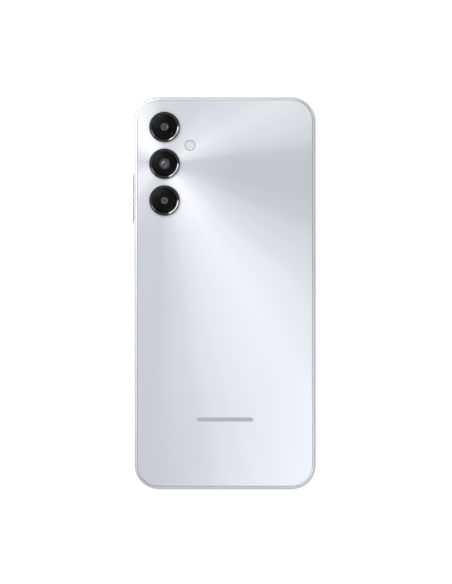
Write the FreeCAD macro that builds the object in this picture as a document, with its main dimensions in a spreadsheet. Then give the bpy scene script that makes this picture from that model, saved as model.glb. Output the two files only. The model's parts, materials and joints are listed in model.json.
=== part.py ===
import FreeCAD, Part
import math
import os
import re

import Sketcher

# A smartphone lying face down: X across (to the right as seen from behind), Y along its length
# towards the cameras, Z out of its back. The origin is under its middle, on the display glass.

V = FreeCAD.Vector
doc = FreeCAD.newDocument("Smartphone")
nodes = []

DIMS = {
    # outline and shell
    "body_width": 77.8, "body_length": 168.0, "body_depth": 8.8, "corner_radius": 10.6,
    "rim_width": 1.5, "shoulder_radius": 1.3, "lip_radius": 1.1, "lip_height": 0.2,
    "wall": 2.9, "glass_rim": 0.9, "flush_gap": 0.05, "cover_depth": 0.9,
    "cover_edge_radius": 0.3, "tape_depth": 0.15, "sheet_depth": 0.1, "over": 1.0,
    # display stack, from the outside inwards
    "glass_depth": 0.7, "glass_edge_radius": 0.4, "gasket_depth": 0.2, "panel_depth": 0.8,
    "backlight_depth": 1.0, "display_width": 71.2, "display_length": 154.0, "display_y": 1.0,
    "layer_corner": 4.0, "display_tail_width": 20.0, "display_tail_y": -63.05,
    "ear_slot_y": 80.3, "ear_slot_length": 9.0, "ear_slot_height": 0.9,
    "plate_floor": 2.6, "plate_depth": 0.5, "plate_top": 3.1, "plate_slot_y": 79.8,
    # cameras and flash on the back
    "lens_x": -25.9, "lens_top_y": 71.0, "lens_pitch": 15.7, "ring_radius": 6.48,
    "ring_height": 1.0, "ring_bore": 4.9, "ring_spigot": 6.0, "ring_edge": 0.3,
    "seat_radius": 5.5, "seat_height": 0.25, "bevel_width": 0.6, "bevel_depth": 0.3,
    "lens_glass_radius": 5.45, "lens_glass_depth": 0.45,
    "flash_x": -15.0, "flash_y": 63.15, "flash_radius": 2.25, "flash_led_size": 2.4,
    "flash_led_depth": 0.5, "wide_size": 8.6, "wide_barrel": 3.1, "wide_eye": 1.7,
    "main_size": 10.0, "main_barrel": 3.2, "main_eye": 2.35, "depth_size": 6.6,
    "depth_barrel": 2.6, "depth_eye": 1.55, "fixed_base": 3.4, "fixed_barrel_height": 5.2,
    "eye_floor": 7.2, "main_base": 4.2, "main_room": 3.4, "main_room_floor": 3.9,
    "main_barrel_floor": 4.2, "main_barrel_height": 4.3, "main_eye_floor": 7.6,
    "lens_depth": 0.8, "main_lens_depth": 0.7, "front_camera_y": 71.8,
    "front_camera_radius": 2.2, "front_camera_size": 6.4, "front_camera_depth": 2.0,
    # side keys and the level of everything in the edges
    "port_level": 5.3, "key_height": 2.2, "key_play": 0.15, "key_foot": -36.2,
    "key_foot_depth": 0.4, "key_foot_extra": 1.8, "foot_pocket": 1.05, "plunger_radius": 0.8,
    "key_corner": 0.8, "key_edge": 0.3, "foot_corner": 0.4, "sensor_corner": 0.6,
    "plunger_end": -36.1, "volume_y": 40.6, "volume_length": 21.8, "volume_face": -39.65,
    "volume_plunger": 7.0, "power_y": 13.5, "power_length": 15.6, "power_face": -39.05,
    "sensor_length": 13.2, "sensor_height": 1.8, "sensor_depth": 0.3,
    "switch_face": -35.75, "switch_depth": 0.7, "switch_size": 3.2, "flex_depth": 0.1,
    "key_bracket_depth": 0.5, "strip_y": 28.0, "strip_length": 52.0, "strip_floor": 3.5,
    "strip_height": 3.6,
    # card tray and its ejector
    "tray_y": 53.3, "tray_width": 13.6, "tray_depth": 0.8, "tray_inner_end": 0.4,
    "cap_length": 17.6, "cap_shift": 1.3, "cap_height": 2.4, "cap_depth": 1.3, "cap_play": 0.08,
    "cap_inset": 0.02, "card_step": 0.15, "card_ledge": 0.8, "card_gap": 0.9,
    "seal_width": 0.8, "seal_proud": 0.1, "tray_play": 0.15, "reader_wall": 0.2,
    "reader_floor": 4.6, "reader_height": 1.4, "reader_x": 17.5, "reader_length": 36.0,
    "eject_y": 61.9, "eject_radius": 0.45, "eject_arm": 3.9, "lever_arm": 6.0, "lever_depth": 0.22,
    "lever_x": -2.2, "lever_width": 1.4, "lever_bore": 0.45, "pivot_radius": 0.4,
    "rod_end": 37.4, "rod_start": -1.6,
    # boards, battery
    "board_level": 3.9, "board_depth": 0.7, "board_width": 68.6, "board_foot_y": 35.0,
    "board_head_y": 80.5, "board_corner": 6.5, "boss_radius": 1.5, "boss_foot_radius": 2.2,
    "boss_hole": 0.7, "boss_play": 0.15, "screw_play": 0.1, "upper_boss_top": 6.3,
    "bracket_depth": 0.9, "can_height": 1.4, "can_wall": 0.2, "chip_height": 0.9,
    "plug_height": 0.7, "processor_size": 13.0, "processor_depth": 0.75,
    "battery_width": 65.5, "battery_length": 90.0, "battery_depth": 4.5, "battery_y": -14.0,
    "battery_edge_radius": 1.2, "battery_tape_width": 12.0, "graphite_width": 60.0,
    "graphite_length": 84.0, "ribbon_x": 20.0, "ribbon_width": 8.0, "cable_radius": 0.4,
    "sub_board_x": 5.5, "sub_board_y": -71.0, "sub_board_width": 27.0,
    "sub_board_length": 17.6, "sub_board_depth": 0.55,
    # ports in the bottom edge
    "usb_width": 8.94, "usb_height": 3.26, "usb_wall": 0.3, "usb_length": 7.0, "usb_recess": 0.5,
    "usb_tongue_width": 6.69, "usb_tongue_depth": 0.7, "usb_tongue_length": 5.4,
    "usb_base_width": 6.6, "usb_base_depth": 1.0, "usb_base_height": 2.2,
    "strap_y": -77.5, "strap_width": 18.0, "strap_length": 4.0, "strap_depth": 0.3,
    "jack_x": 23.2, "jack_bore": 1.8, "jack_nose": 2.35, "jack_width": 6.0,
    "jack_height": 4.3, "jack_length": 14.0, "jack_case_y": -75.2, "jack_case_length": 11.8,
    "jack_flush": 0.1, "mic_x": 12.5, "mic_hole": 0.5, "mic_width": 3.0, "mic_length": 2.2,
    "mic_height": 1.0, "grille_x": -17.5, "grille_pitch": 2.1, "grille_hole": 0.6,
    "mesh_y": -80.95, "mesh_width": 16.0, "mesh_depth": 0.2, "mesh_height": 2.0,
    # loudspeaker, earpiece, vibration motor
    "speaker_x": -22.0, "speaker_y": -73.4, "speaker_width": 25.0, "speaker_length": 13.4,
    "speaker_wall": 0.6, "speaker_corner": 4.0, "speaker_floor": 3.7, "speaker_top": 7.5,
    "speaker_ear_y": -63.8, "speaker_ear_width": 24.0, "speaker_ear_length": 6.0,
    "duct_y": -80.0, "duct_width": 14.0, "duct_length": 4.0, "duct_height": 1.8,
    "magnet_width": 12.0, "magnet_length": 7.0, "magnet_depth": 0.8, "earpiece_y": 78.3,
    "earpiece_width": 12.0, "earpiece_length": 5.2, "earpiece_height": 2.4,
    "earpiece_wall": 0.3, "earpiece_corner": 0.8, "outlet_width": 7.0, "outlet_length": 1.2,
    "diaphragm_depth": 0.2, "diaphragm_corner": 1.0, "motor_x": 31.0, "motor_y": -74.0,
    "motor_radius": 4.0, "motor_height": 2.8, "motor_wall": 0.2, "motor_shaft": 0.35,
    "motor_play": 0.05, "rotor_lift": 0.6, "rotor_play": 0.25, "rotor_depth": 1.6,
    "rotor_notch": 0.8,
    # screws
    "screw_head": 1.1, "screw_head_depth": 0.4, "screw_shank": 0.65, "screw_length": 2.4,
}

D = DIMS
GRILLE_HOLES = 7
UPPER_BOSSES = [(-16.5, 37.2), (-16.5, 76.3), (9.0, 37.2), (32.0, 37.2), (32.0, 76.3)]
SPEAKER_BOSSES = [(-32.0, -63.5), (-12.0, -63.5)]
USB_BOSSES = [(-7.2, -77.5), (7.2, -77.5)]
# x, y, width and length of what stands on the main board
SHIELD_CANS = [(-9.4, 50.5, 12.0, 18.0), (18.0, 68.5, 20.0, 10.5)]
CHIPS = [(-9.4, 55.0, 6.0, 5.0), (-9.4, 46.5, 5.0, 6.0), (14.0, 68.5, 9.0, 8.0),
         (23.0, 68.5, 5.5, 6.0)]
PLUGS = [(-4.0, 39.0, 6.0, 2.4), (20.0, 38.5, 9.0, 2.4), (-24.0, 63.2, 6.0, 1.2)]
# length along X and width of the tray's nests: two small cards beside one larger
CARD_NESTS = [(15.2, 11.2), (9.0, 12.5), (9.0, 12.5)]

sheet = doc.addObject("Spreadsheet::Sheet", "Dims")
for row, (alias, value) in enumerate(DIMS.items(), start=1):
    sheet.set(f"A{row}", alias)
    sheet.set(f"B{row}", str(value))
    sheet.setAlias(f"B{row}", alias)
doc.recompute()


def bound(text):
    """An expression in which each dimension's name points at its cell."""
    return re.sub(r"[a-z][a-z_]*", lambda word: "Dims." + word.group(0), str(text))


def bind(thing, **properties):
    for name, text in properties.items():
        thing.setExpression(name.replace("_", "."), bound(text))


def place(thing, x="0", y="0", z="0"):
    bind(thing, Placement_Base_x=x, Placement_Base_y=y, Placement_Base_z=z)


def keep(thing, label):
    """Marks a finished sub-part: its label is its name and its file's name."""
    thing.Label = label
    nodes.append(thing)
    return thing


# ---------------------------------------------------------------- primitives and booleans

def block(x, y, z, width, length, height, corner=None):
    """A box centred on (x, y) that stands on level z, with round vertical edges if corner is given."""
    box = doc.addObject("Part::Box", "Block")
    bind(box, Length=width, Width=length, Height=height)
    place(box, f"({x}) - ({width}) / 2", f"({y}) - ({length}) / 2", z)
    if corner is None:
        return box
    doc.recompute()
    upright = [n for n, e in enumerate(box.Shape.Edges, start=1) if e.BoundBox.ZLength > 1e-6]
    return round_edges(box, upright, corner)


def round_edges(base, edges, radius):
    rounded = doc.addObject("Part::Fillet", "Rounded")
    rounded.Base = base
    rounded.Edges = [(n, radius, radius) for n in edges]
    return rounded


def disc(x, y, z, radius, height):
    cylinder = doc.addObject("Part::Cylinder", "Disc")
    bind(cylinder, Radius=radius, Height=height)
    place(cylinder, x, y, z)
    return cylinder


def rod(x, y, z, radius, length, along):
    """A cylinder that starts at (x, y, z) and runs along the direction given."""
    cylinder = doc.addObject("Part::Cylinder", "Rod")
    cylinder.Placement.Rotation = FreeCAD.Rotation(V(0, 0, 1), V(*along))
    bind(cylinder, Radius=radius, Height=length)
    place(cylinder, x, y, z)
    return cylinder


def join(*things):
    fused = doc.addObject("Part::MultiFuse", "Joined")
    fused.Shapes = list(things)
    return fused


def group(*things):
    """Separate solids that are one kind of piece and share one node."""
    together = doc.addObject("Part::Compound", "Group")
    together.Links = list(things)
    return together


def cut(base, *tools):
    result = doc.addObject("Part::Cut", "CutOut")
    result.Base = base
    result.Tool = tools[0] if len(tools) == 1 else join(*tools)
    return result


# ---------------------------------------------------------------- sketches and features

def new_body(label):
    body = doc.addObject("PartDesign::Body", "Body")
    return keep(body, label)


def new_sketch(body, plane, across="0", up="0", out="0"):
    """A sketch on one of the body's origin planes, shifted within it and out of it."""
    sketch = body.newObject("Sketcher::SketchObject", "Sketch")
    support = [f for f in body.Origin.OriginFeatures if f.Role == plane + "_Plane"][0]
    sketch.AttachmentSupport = [(support, "")]
    sketch.MapMode = "FlatFace"
    bind(sketch, AttachmentOffset_Base_x=across, AttachmentOffset_Base_y=up,
         AttachmentOffset_Base_z=out)
    return sketch


def round_rect(body, plane, width, height, corner, **where):
    """A rectangle about the sketch's origin, with four equal round corners."""
    sketch = new_sketch(body, plane, **where)
    half_w, half_h, r = 20.0, 10.0, 2.0
    centres = [(half_w - r, r - half_h), (half_w - r, half_h - r),
               (r - half_w, half_h - r), (r - half_w, r - half_h)]
    sides = [((r - half_w, -half_h), (half_w - r, -half_h)),
             ((half_w, r - half_h), (half_w, half_h - r)),
             ((half_w - r, half_h), (r - half_w, half_h)),
             ((-half_w, half_h - r), (-half_w, r - half_h))]
    loop = []
    for n, (start, end) in enumerate(sides):
        loop.append(sketch.addGeometry(Part.LineSegment(V(*start, 0), V(*end, 0))))
        turn = Part.Circle(V(*centres[n], 0), V(0, 0, 1), r)
        first = (n - 1) * math.pi / 2
        loop.append(sketch.addGeometry(Part.ArcOfCircle(turn, first, first + math.pi / 2)))
    for n, edge in enumerate(loop):
        sketch.addConstraint(Sketcher.Constraint("Tangent", edge, 2, loop[(n + 1) % 8], 1))
    bottom, right, top, left = loop[0::2]
    corners = loop[1::2]
    for edge in (bottom, top):
        sketch.addConstraint(Sketcher.Constraint("Horizontal", edge))
    for edge in (left, right):
        sketch.addConstraint(Sketcher.Constraint("Vertical", edge))
    for other in corners[1:]:
        sketch.addConstraint(Sketcher.Constraint("Equal", corners[0], other))
    sketch.addConstraint(Sketcher.Constraint("Symmetric", corners[0], 3, corners[2], 3, -1, 1))
    for name, constraint, text in (
            ("corner", Sketcher.Constraint("Radius", corners[0], r), corner),
            ("width", Sketcher.Constraint("DistanceX", left, 1, right, 1, 2 * half_w), width),
            ("height", Sketcher.Constraint("DistanceY", bottom, 1, top, 1, 2 * half_h), height)):
        index = sketch.addConstraint(constraint)
        sketch.renameConstraint(index, name)
        sketch.setExpression("Constraints." + name, bound(text))
    return sketch


def circles(body, plane, spots, radius, **where):
    """Equal circles at the spots given."""
    sketch = new_sketch(body, plane, **where)
    rings = [sketch.addGeometry(Part.Circle(V(x, y, 0), V(0, 0, 1), 1.0)) for x, y in spots]
    for ring, (x, y) in zip(rings, spots):
        if (x, y) == (0, 0):
            sketch.addConstraint(Sketcher.Constraint("Coincident", ring, 3, -1, 1))
        else:
            sketch.addConstraint(Sketcher.Constraint("DistanceX", -1, 1, ring, 3, x))
            sketch.addConstraint(Sketcher.Constraint("DistanceY", -1, 1, ring, 3, y))
        if ring != rings[0]:
            sketch.addConstraint(Sketcher.Constraint("Equal", rings[0], ring))
    index = sketch.addConstraint(Sketcher.Constraint("Radius", rings[0], 1.0))
    sketch.renameConstraint(index, "radius")
    sketch.setExpression("Constraints.radius", bound(radius))
    return sketch


def pad(body, sketch, length, back=False):
    feature = body.newObject("PartDesign::Pad", "Pad")
    feature.Profile = sketch
    feature.Reversed = back
    bind(feature, Length=length)
    return feature


def pocket(body, sketch, length, back=False):
    """Cuts against the sketch's normal, or along it if back is set."""
    feature = body.newObject("PartDesign::Pocket", "Pocket")
    feature.Profile = sketch
    feature.Reversed = back
    bind(feature, Length=length)
    return feature


def fillet(body, feature, radius, chosen):
    """Rounds the edges of the feature that the test picks by their bounding box."""
    doc.recompute()
    names = [f"Edge{n}" for n, e in enumerate(feature.Shape.Edges, start=1) if chosen(e.BoundBox)]
    rounding = body.newObject("PartDesign::Fillet", "Fillet")
    rounding.Base = (feature, names)
    bind(rounding, Radius=radius)
    return rounding


def flat_at(level):
    return lambda box: box.ZLength < 1e-6 and abs(box.ZMax - level) < 1e-6


# ---------------------------------------------------------------- shell

def side_frame():
    """The band round the edge: a rebate for the cover behind, one for the glass in front."""
    body = new_body("side_frame")
    top = D["body_depth"] - D["flush_gap"]
    outline = round_rect(body, "XY", "body_width", "body_length", "corner_radius", out="lip_height")
    band = pad(body, outline, "body_depth - flush_gap - lip_height")
    shoulder = fillet(body, band, "shoulder_radius", flat_at(top))
    fillet(body, shoulder, "lip_radius", flat_at(D["lip_height"]))
    rebate = round_rect(body, "XY", "body_width - 2 * rim_width", "body_length - 2 * rim_width",
                        "corner_radius - rim_width", out="body_depth")
    pocket(body, rebate, "cover_depth + tape_depth")
    hollow = round_rect(body, "XY", "body_width - 2 * wall", "body_length - 2 * wall",
                        "corner_radius - wall", out="body_depth")
    pocket(body, hollow, "body_depth")
    seat = round_rect(body, "XY", "body_width - 2 * glass_rim", "body_length - 2 * glass_rim",
                      "corner_radius - glass_rim")
    pocket(body, seat, "glass_depth + gasket_depth", back=True)
    key_openings(body)
    tray_opening(body)
    port_openings(body)


def key_openings(body):
    """Windows for the keys, each with a wider pocket inside for the key's foot."""
    for y, length in (("volume_y", "volume_length"), ("power_y", "power_length")):
        window = round_rect(body, "YZ", f"{length} + 2 * key_play", "key_height + 2 * key_play",
                            "key_corner + flush_gap * 2", across=y, up="port_level",
                            out="0 - body_width / 2 - over")
        pocket(body, window, "wall + 2 * over", back=True)
        foot = round_rect(body, "YZ", f"{length} + key_foot_extra + 4 * key_play",
                          "key_height + key_foot_extra / 2 + 2 * key_play", "foot_corner + flush_gap * 2",
                          across=y, up="port_level", out="0 - body_width / 2 + wall + over / 2")
        pocket(body, foot, "foot_pocket + over / 2")


def tray_opening(body):
    """A shallow seat for the tray's cap, the slot behind it and the way to the ejector."""
    side = {"up": "port_level", "out": "body_width / 2 + over"}
    seat = round_rect(body, "YZ", "cap_length + 2 * cap_play", "cap_height + 2 * cap_play",
                      "cap_height * 0.49", across="tray_y + cap_shift", **side)
    pocket(body, seat, "over + cap_depth + cap_play")
    slot = round_rect(body, "YZ", "tray_width + 2 * tray_play", "tray_depth + 2 * tray_play",
                      "flush_gap * 2", across="tray_y", **side)
    pocket(body, slot, "wall + 2 * over")
    pin_way = circles(body, "YZ", [(0, 0)], "eject_radius + tray_play", across="eject_y", **side)
    pocket(body, pin_way, "wall + 2 * over")


def port_openings(body):
    """The bottom edge's connector, jack, microphone and loudspeaker holes; a microphone on top."""
    bottom = {"up": "port_level", "out": "body_length / 2 + over"}
    middle = (GRILLE_HOLES - 1) / 2
    grille = [((n - middle) * D["grille_pitch"], 0) for n in range(GRILLE_HOLES)]
    openings = [round_rect(body, "XZ", "usb_width + 2 * key_play", "usb_height + 2 * key_play",
                           "usb_height * 0.49", **bottom),
                circles(body, "XZ", [(0, 0)], "jack_nose + flush_gap", across="jack_x", **bottom),
                circles(body, "XZ", [(0, 0)], "mic_hole", across="mic_x", **bottom),
                circles(body, "XZ", grille, "grille_hole", across="grille_x", **bottom)]
    for opening in openings:
        pocket(body, opening, "wall + 2 * over")
    second = circles(body, "XZ", [(0, 0)], "mic_hole", across="mic_x", up="port_level",
                     out="0 - body_length / 2 - over")
    pocket(body, second, "wall + 2 * over", back=True)


def lens_spots():
    return [(D["lens_x"], D["lens_top_y"] - n * D["lens_pitch"]) for n in range(3)]


def rear_cover():
    body = new_body("rear_cover")
    inset = "2 * rim_width - 2 * flush_gap"
    outline = round_rect(body, "XY", f"body_width - {inset}", f"body_length - {inset}",
                         "corner_radius - rim_width - flush_gap", out="body_depth - cover_depth")
    panel = pad(body, outline, "cover_depth")
    fillet(body, panel, "cover_edge_radius", flat_at(D["body_depth"]))
    lenses = circles(body, "XY", lens_spots(), "ring_spigot + flush_gap", out="body_depth")
    pocket(body, lenses, "cover_depth")
    flash = circles(body, "XY", [(0, 0)], "flash_radius + flush_gap",
                    across="flash_x", up="flash_y", out="body_depth")
    pocket(body, flash, "cover_depth")


def flat_ring(label, level, depth, outer_inset, inner_inset):
    """A thin band that follows the outline, between two distances in from it."""
    body = new_body(label)
    for inset, cutting in ((outer_inset, False), (inner_inset, True)):
        outline = round_rect(body, "XY", f"body_width - 2 * ({inset})", f"body_length - 2 * ({inset})",
                             f"corner_radius - ({inset})", out=level)
        if cutting:
            pocket(body, outline, depth, back=True)
        else:
            pad(body, outline, depth)


def lens_ring(label, x, y):
    """Turned ring: a round-edged rim outside, a bevel down to the glass seat, a spigot below."""
    body = new_body(label)
    sketch = new_sketch(body, "XZ")
    back = D["body_depth"]
    low, seat, top = back - D["cover_depth"], back + D["seat_height"], back + D["ring_height"]
    outer, edge, inner = D["ring_radius"], D["ring_edge"], D["seat_radius"]
    rim_end = (outer, top - edge)
    points = [(D["ring_bore"], low), (D["ring_spigot"], low), (D["ring_spigot"], back),
              (outer, back), rim_end, (outer - edge, top), (inner + D["bevel_width"], top),
              (inner, top - D["bevel_depth"]), (inner, seat), (D["ring_bore"], seat)]
    for start, end in zip(points, points[1:] + points[:1]):
        if start == rim_end:
            turn = Part.Circle(V(outer - edge, top - edge, 0), V(0, 0, 1), edge)
            sketch.addGeometry(Part.ArcOfCircle(turn, 0, math.pi / 2))
        else:
            sketch.addGeometry(Part.LineSegment(V(*start, 0), V(*end, 0)))
    turned = body.newObject("PartDesign::Revolution", "Revolution")
    turned.Profile = sketch
    turned.ReferenceAxis = (sketch, ["V_Axis"])
    turned.Angle = 360.0
    body.Placement.Base = V(x, y, 0)


def cameras_and_flash_glass():
    for name, (x, y) in zip(("upper", "middle", "lower"), lens_spots()):
        lens_ring("lens_ring_" + name, x, y)
    keep(group(*[disc(x, y, "body_depth + seat_height", "lens_glass_radius", "lens_glass_depth")
                 for x, y in lens_spots()]), "lens_glasses")
    keep(disc("flash_x", "flash_y", "body_depth - cover_depth", "flash_radius", "cover_depth"),
         "flash_window")


# ---------------------------------------------------------------- display and chassis

def display():
    body = new_body("display_cover_glass")
    inset = "2 * glass_rim - 2 * flush_gap"
    outline = round_rect(body, "XY", f"body_width - {inset}", f"body_length - {inset}",
                         "corner_radius - glass_rim - flush_gap")
    pane = pad(body, outline, "glass_depth")
    fillet(body, pane, "glass_edge_radius", flat_at(0))
    slot = round_rect(body, "XY", "ear_slot_length", "ear_slot_height", "ear_slot_height * 0.45",
                      up="ear_slot_y")
    pocket(body, slot, "glass_depth", back=True)
    flat_ring("display_gasket", "glass_depth", "gasket_depth", "glass_rim + 3 * flush_gap",
              "wall + 2 * flush_gap")
    for label, level, depth in (("display_panel", "glass_depth", "panel_depth"),
                                ("backlight_unit", "glass_depth + panel_depth", "backlight_depth")):
        layer = block("0", "display_y", level, "display_width", "display_length", depth,
                      corner=D["layer_corner"])
        window = disc("0", "front_camera_y", "0", "front_camera_radius + 6 * flush_gap", "plate_top")
        keep(cut(layer, window), label)
    inside = "plate_floor - sheet_depth"
    tail = [block("0", "display_tail_y - 5.95", inside, "display_tail_width", "12", "sheet_depth"),
            block("0", "display_tail_y", inside, "display_tail_width", "sheet_depth", "2"),
            block("0", "display_tail_y - 1.05", f"{inside} + 2 - sheet_depth", "display_tail_width",
                  "2.2", "sheet_depth")]
    keep(join(*tail), "display_flex")


def chassis_plate():
    """The metal sheet between display and boards, with bosses for screws."""
    body = new_body("chassis_plate")
    outline = round_rect(body, "XY", "body_width - 2 * wall", "body_length - 2 * wall",
                         "corner_radius - wall", out="plate_floor")
    pad(body, outline, "plate_depth")
    feet = circles(body, "XY", UPPER_BOSSES, "boss_foot_radius", out="plate_top")
    pad(body, feet, "board_level - plate_top")
    for spots, height in ((UPPER_BOSSES, "upper_boss_top - plate_top"),
                          (SPEAKER_BOSSES, "upper_boss_top - plate_top"),
                          (USB_BOSSES, "port_level + usb_height / 2 - plate_top")):
        bosses = circles(body, "XY", spots, "boss_radius", out="plate_top")
        pad(body, bosses, height)
    every_boss = UPPER_BOSSES + SPEAKER_BOSSES + USB_BOSSES
    holes = circles(body, "XY", every_boss, "boss_hole", out="body_depth")
    pocket(body, holes, "body_depth - plate_top")
    camera = circles(body, "XY", [(0, 0)], "front_camera_radius + 6 * flush_gap",
                     up="front_camera_y", out="body_depth")
    pocket(body, camera, "body_depth")
    tail_way = round_rect(body, "XY", "display_tail_width + 6 * sheet_depth", "9 * sheet_depth",
                          "0.2", up="display_tail_y", out="body_depth")
    pocket(body, tail_way, "body_depth")
    sound_way = round_rect(body, "XY", "ear_slot_length", "1.6", "0.2", up="plate_slot_y",
                           out="body_depth")
    pocket(body, sound_way, "body_depth")


# ---------------------------------------------------------------- boards and brackets

def boss_ways(spots, level, height):
    return [disc(x, y, level, "boss_radius + boss_play", height) for x, y in spots]


def camera_ways(level, height, margin):
    """Openings round the cameras and the earpiece."""
    sizes = ("wide_size", "main_size", "depth_size")
    ways = [block(x, y, level, f"{size} + {margin}", f"{size} + {margin}", height)
            for (x, y), size in zip(lens_spots(), sizes)]
    ways.append(block("0", "front_camera_y", level, f"front_camera_size + {margin}",
                      f"front_camera_size + {margin}", height))
    ways.append(block("0", "80", level, "earpiece_width + 1.4", "earpiece_length + 4", height))
    return ways


def main_board():
    middle, length = "(board_head_y + board_foot_y) / 2", "board_head_y - board_foot_y"
    corner = D["board_corner"]
    board = block("0", middle, "board_level", "board_width", length, "board_depth", corner=corner)
    ways = boss_ways(UPPER_BOSSES, "board_level", "board_depth")
    ways += camera_ways("board_level", "board_depth", "0.6")
    keep(cut(board, *ways), "main_board")
    bracket = block("0", middle, "upper_boss_top", "board_width", length, "bracket_depth",
                    corner=corner)
    ways = camera_ways("upper_boss_top", "bracket_depth", "0.8")
    ways += [disc(x, y, "upper_boss_top", "boss_hole + screw_play", "bracket_depth")
             for x, y in UPPER_BOSSES]
    keep(cut(bracket, *ways), "upper_bracket")
    top = "board_level + board_depth"
    cans = [cut(block(x, y, top, w, l, "can_height"),
                block(x, y, top, f"{w} - 2 * can_wall", f"{l} - 2 * can_wall",
                      "can_height - can_wall")) for x, y, w, l in SHIELD_CANS]
    keep(group(*cans), "rf_shield_cans")
    parts = [block(x, y, top, w, l, "chip_height") for x, y, w, l in CHIPS]
    parts += [block(x, y, top, w, l, "plug_height") for x, y, w, l in PLUGS]
    keep(group(*parts), "board_components")
    keep(block("-4", "57", "board_level - processor_depth", "processor_size", "processor_size",
               "processor_depth"), "processor_package")


def battery():
    """The cell, its tape, its protection board and the ribbon that passes behind it."""
    cell = block("0", "battery_y", "plate_top + sheet_depth", "battery_width", "battery_length",
                 "battery_depth")
    doc.recompute()
    along = [n for n, e in enumerate(cell.Shape.Edges, start=1) if e.BoundBox.YLength > 1]
    keep(round_edges(cell, along, D["battery_edge_radius"]), "battery")
    strips = [block(x, "battery_y", "plate_top", "battery_tape_width", "battery_length - 8",
                    "sheet_depth") for x in (-20, 20)]
    keep(group(*strips), "battery_tape")
    head = "battery_y + battery_length / 2"
    circuit = block("-8", f"{head} + 1.65", "4.8", "34", "3.1", "1.4")
    lead = block("-4", f"{head} + 5.2", "5.3", "5", "4", "sheet_depth")
    keep(join(circuit, lead), "battery_protection_board")
    keep(block("0", "battery_y", "body_depth - cover_depth - sheet_depth", "graphite_width",
               "graphite_length", "sheet_depth"), "graphite_sheet")
    roof = "plate_top + 2 * sheet_depth + battery_depth"
    foot = "battery_y - battery_length / 2"
    plan = [("battery_y", f"{roof} - sheet_depth", "battery_length + 3 * sheet_depth", "sheet_depth"),
            (f"{head} + sheet_depth", "5.3", "sheet_depth", f"{roof} - 5.3"),
            (f"{head} + 4.1", "5.3", "8.1", "sheet_depth"),
            (f"{foot} - sheet_depth", "3.7", "sheet_depth", f"{roof} - 3.7"),
            (f"{foot} - 2.65", "3.7", "5.2", "sheet_depth")]
    ribbon = [block("ribbon_x", y, level, "ribbon_width", length, depth)
              for y, level, length, depth in plan]
    keep(join(*ribbon), "interconnect_flex")


def coaxial_cable():
    """A thin aerial lead from board to board, past the battery."""
    level, lane, head, foot, bend = 5.6, 34.4, 34.0, -61.6, 2.0
    starts, ends = V(29.0, head, level), V(27.0, foot, level)
    middle = bend * (1 - math.sqrt(0.5))
    edges = [Part.LineSegment(starts, V(lane - bend, head, level)).toShape(),
             Part.Arc(V(lane - bend, head, level), V(lane - middle, head - middle, level),
                      V(lane, head - bend, level)).toShape(),
             Part.LineSegment(V(lane, head - bend, level), V(lane, foot + bend, level)).toShape(),
             Part.Arc(V(lane, foot + bend, level), V(lane - middle, foot + middle, level),
                      V(lane - bend, foot, level)).toShape(),
             Part.LineSegment(V(lane - bend, foot, level), ends).toShape()]
    section = Part.Wire(Part.Circle(starts, V(1, 0, 0), D["cable_radius"]).toShape())
    lead = doc.addObject("Part::Feature", "Lead")
    lead.Shape = Part.Wire(edges).makePipeShell([section], True, False)
    keep(lead, "coaxial_cable")


# ---------------------------------------------------------------- cameras

def camera_modules():
    """Housings with a barrel each; the main camera's barrel slides to focus."""
    floor = "plate_top + sheet_depth"
    wide, main, depth = lens_spots()
    fixed_lenses = []
    for kind, (x, y) in (("wide", wide), ("depth", depth)):
        base = block(x, y, floor, f"{kind}_size", f"{kind}_size", "fixed_base")
        tube = disc(x, y, floor, f"{kind}_barrel", "fixed_barrel_height")
        eye = disc(x, y, "eye_floor", f"{kind}_eye", "body_depth - eye_floor")
        keep(cut(join(base, tube), eye), f"{kind}_camera_module")
        fixed_lenses.append(disc(x, y, "eye_floor", f"{kind}_eye", "lens_depth"))
    keep(group(*fixed_lenses), "fixed_camera_lenses")
    x, y = main
    base = block(x, y, floor, "main_size", "main_size", "main_base")
    room = disc(x, y, "main_room_floor", "main_room", "main_base")
    keep(cut(base, room), "main_camera_housing")
    barrel = disc(x, y, "main_barrel_floor", "main_barrel", "main_barrel_height")
    eye = disc(x, y, "main_eye_floor", "main_eye", "body_depth - main_eye_floor")
    keep(cut(barrel, eye), "main_camera_barrel")
    keep(disc(x, y, "main_eye_floor", "main_eye", "main_lens_depth"), "main_camera_lens")
    shell = block("0", "front_camera_y", "plate_top", "front_camera_size", "front_camera_size",
                  "front_camera_depth")
    snout = disc("0", "front_camera_y", "glass_depth + flush_gap", "front_camera_radius",
                 "plate_top - glass_depth")
    keep(join(shell, snout), "front_camera_module")
    keep(block("flash_x", "flash_y", "upper_boss_top + bracket_depth", "flash_led_size",
               "flash_led_size", "flash_led_depth"), "flash_led")


# ---------------------------------------------------------------- side keys

def key(label, y, length, face, plungers):
    """A bar through the wall, a wider foot that keeps it in, and a plunger for each switch."""
    body = new_body(label)
    foot_level = {"across": y, "up": "port_level", "out": "key_foot"}
    bar = round_rect(body, "YZ", length, "key_height", "key_corner", **foot_level)
    front = pad(body, bar, f"key_foot - ({face})", back=True)
    edge = D[face]
    fillet(body, front, "key_edge", lambda box: box.XLength < 1e-6 and abs(box.XMin - edge) < 1e-6)
    foot = round_rect(body, "YZ", f"{length} + key_foot_extra", "key_height + key_foot_extra / 2",
                      "foot_corner", **foot_level)
    pad(body, foot, "key_foot_depth", back=True)
    ends = circles(body, "YZ", plungers, "plunger_radius", **foot_level)
    pad(body, ends, "plunger_end - key_foot")
    return body


def sensor_outline(body, out):
    return round_rect(body, "YZ", "sensor_length", "sensor_height", "sensor_corner",
                      across="power_y", up="port_level", out=out)


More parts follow.
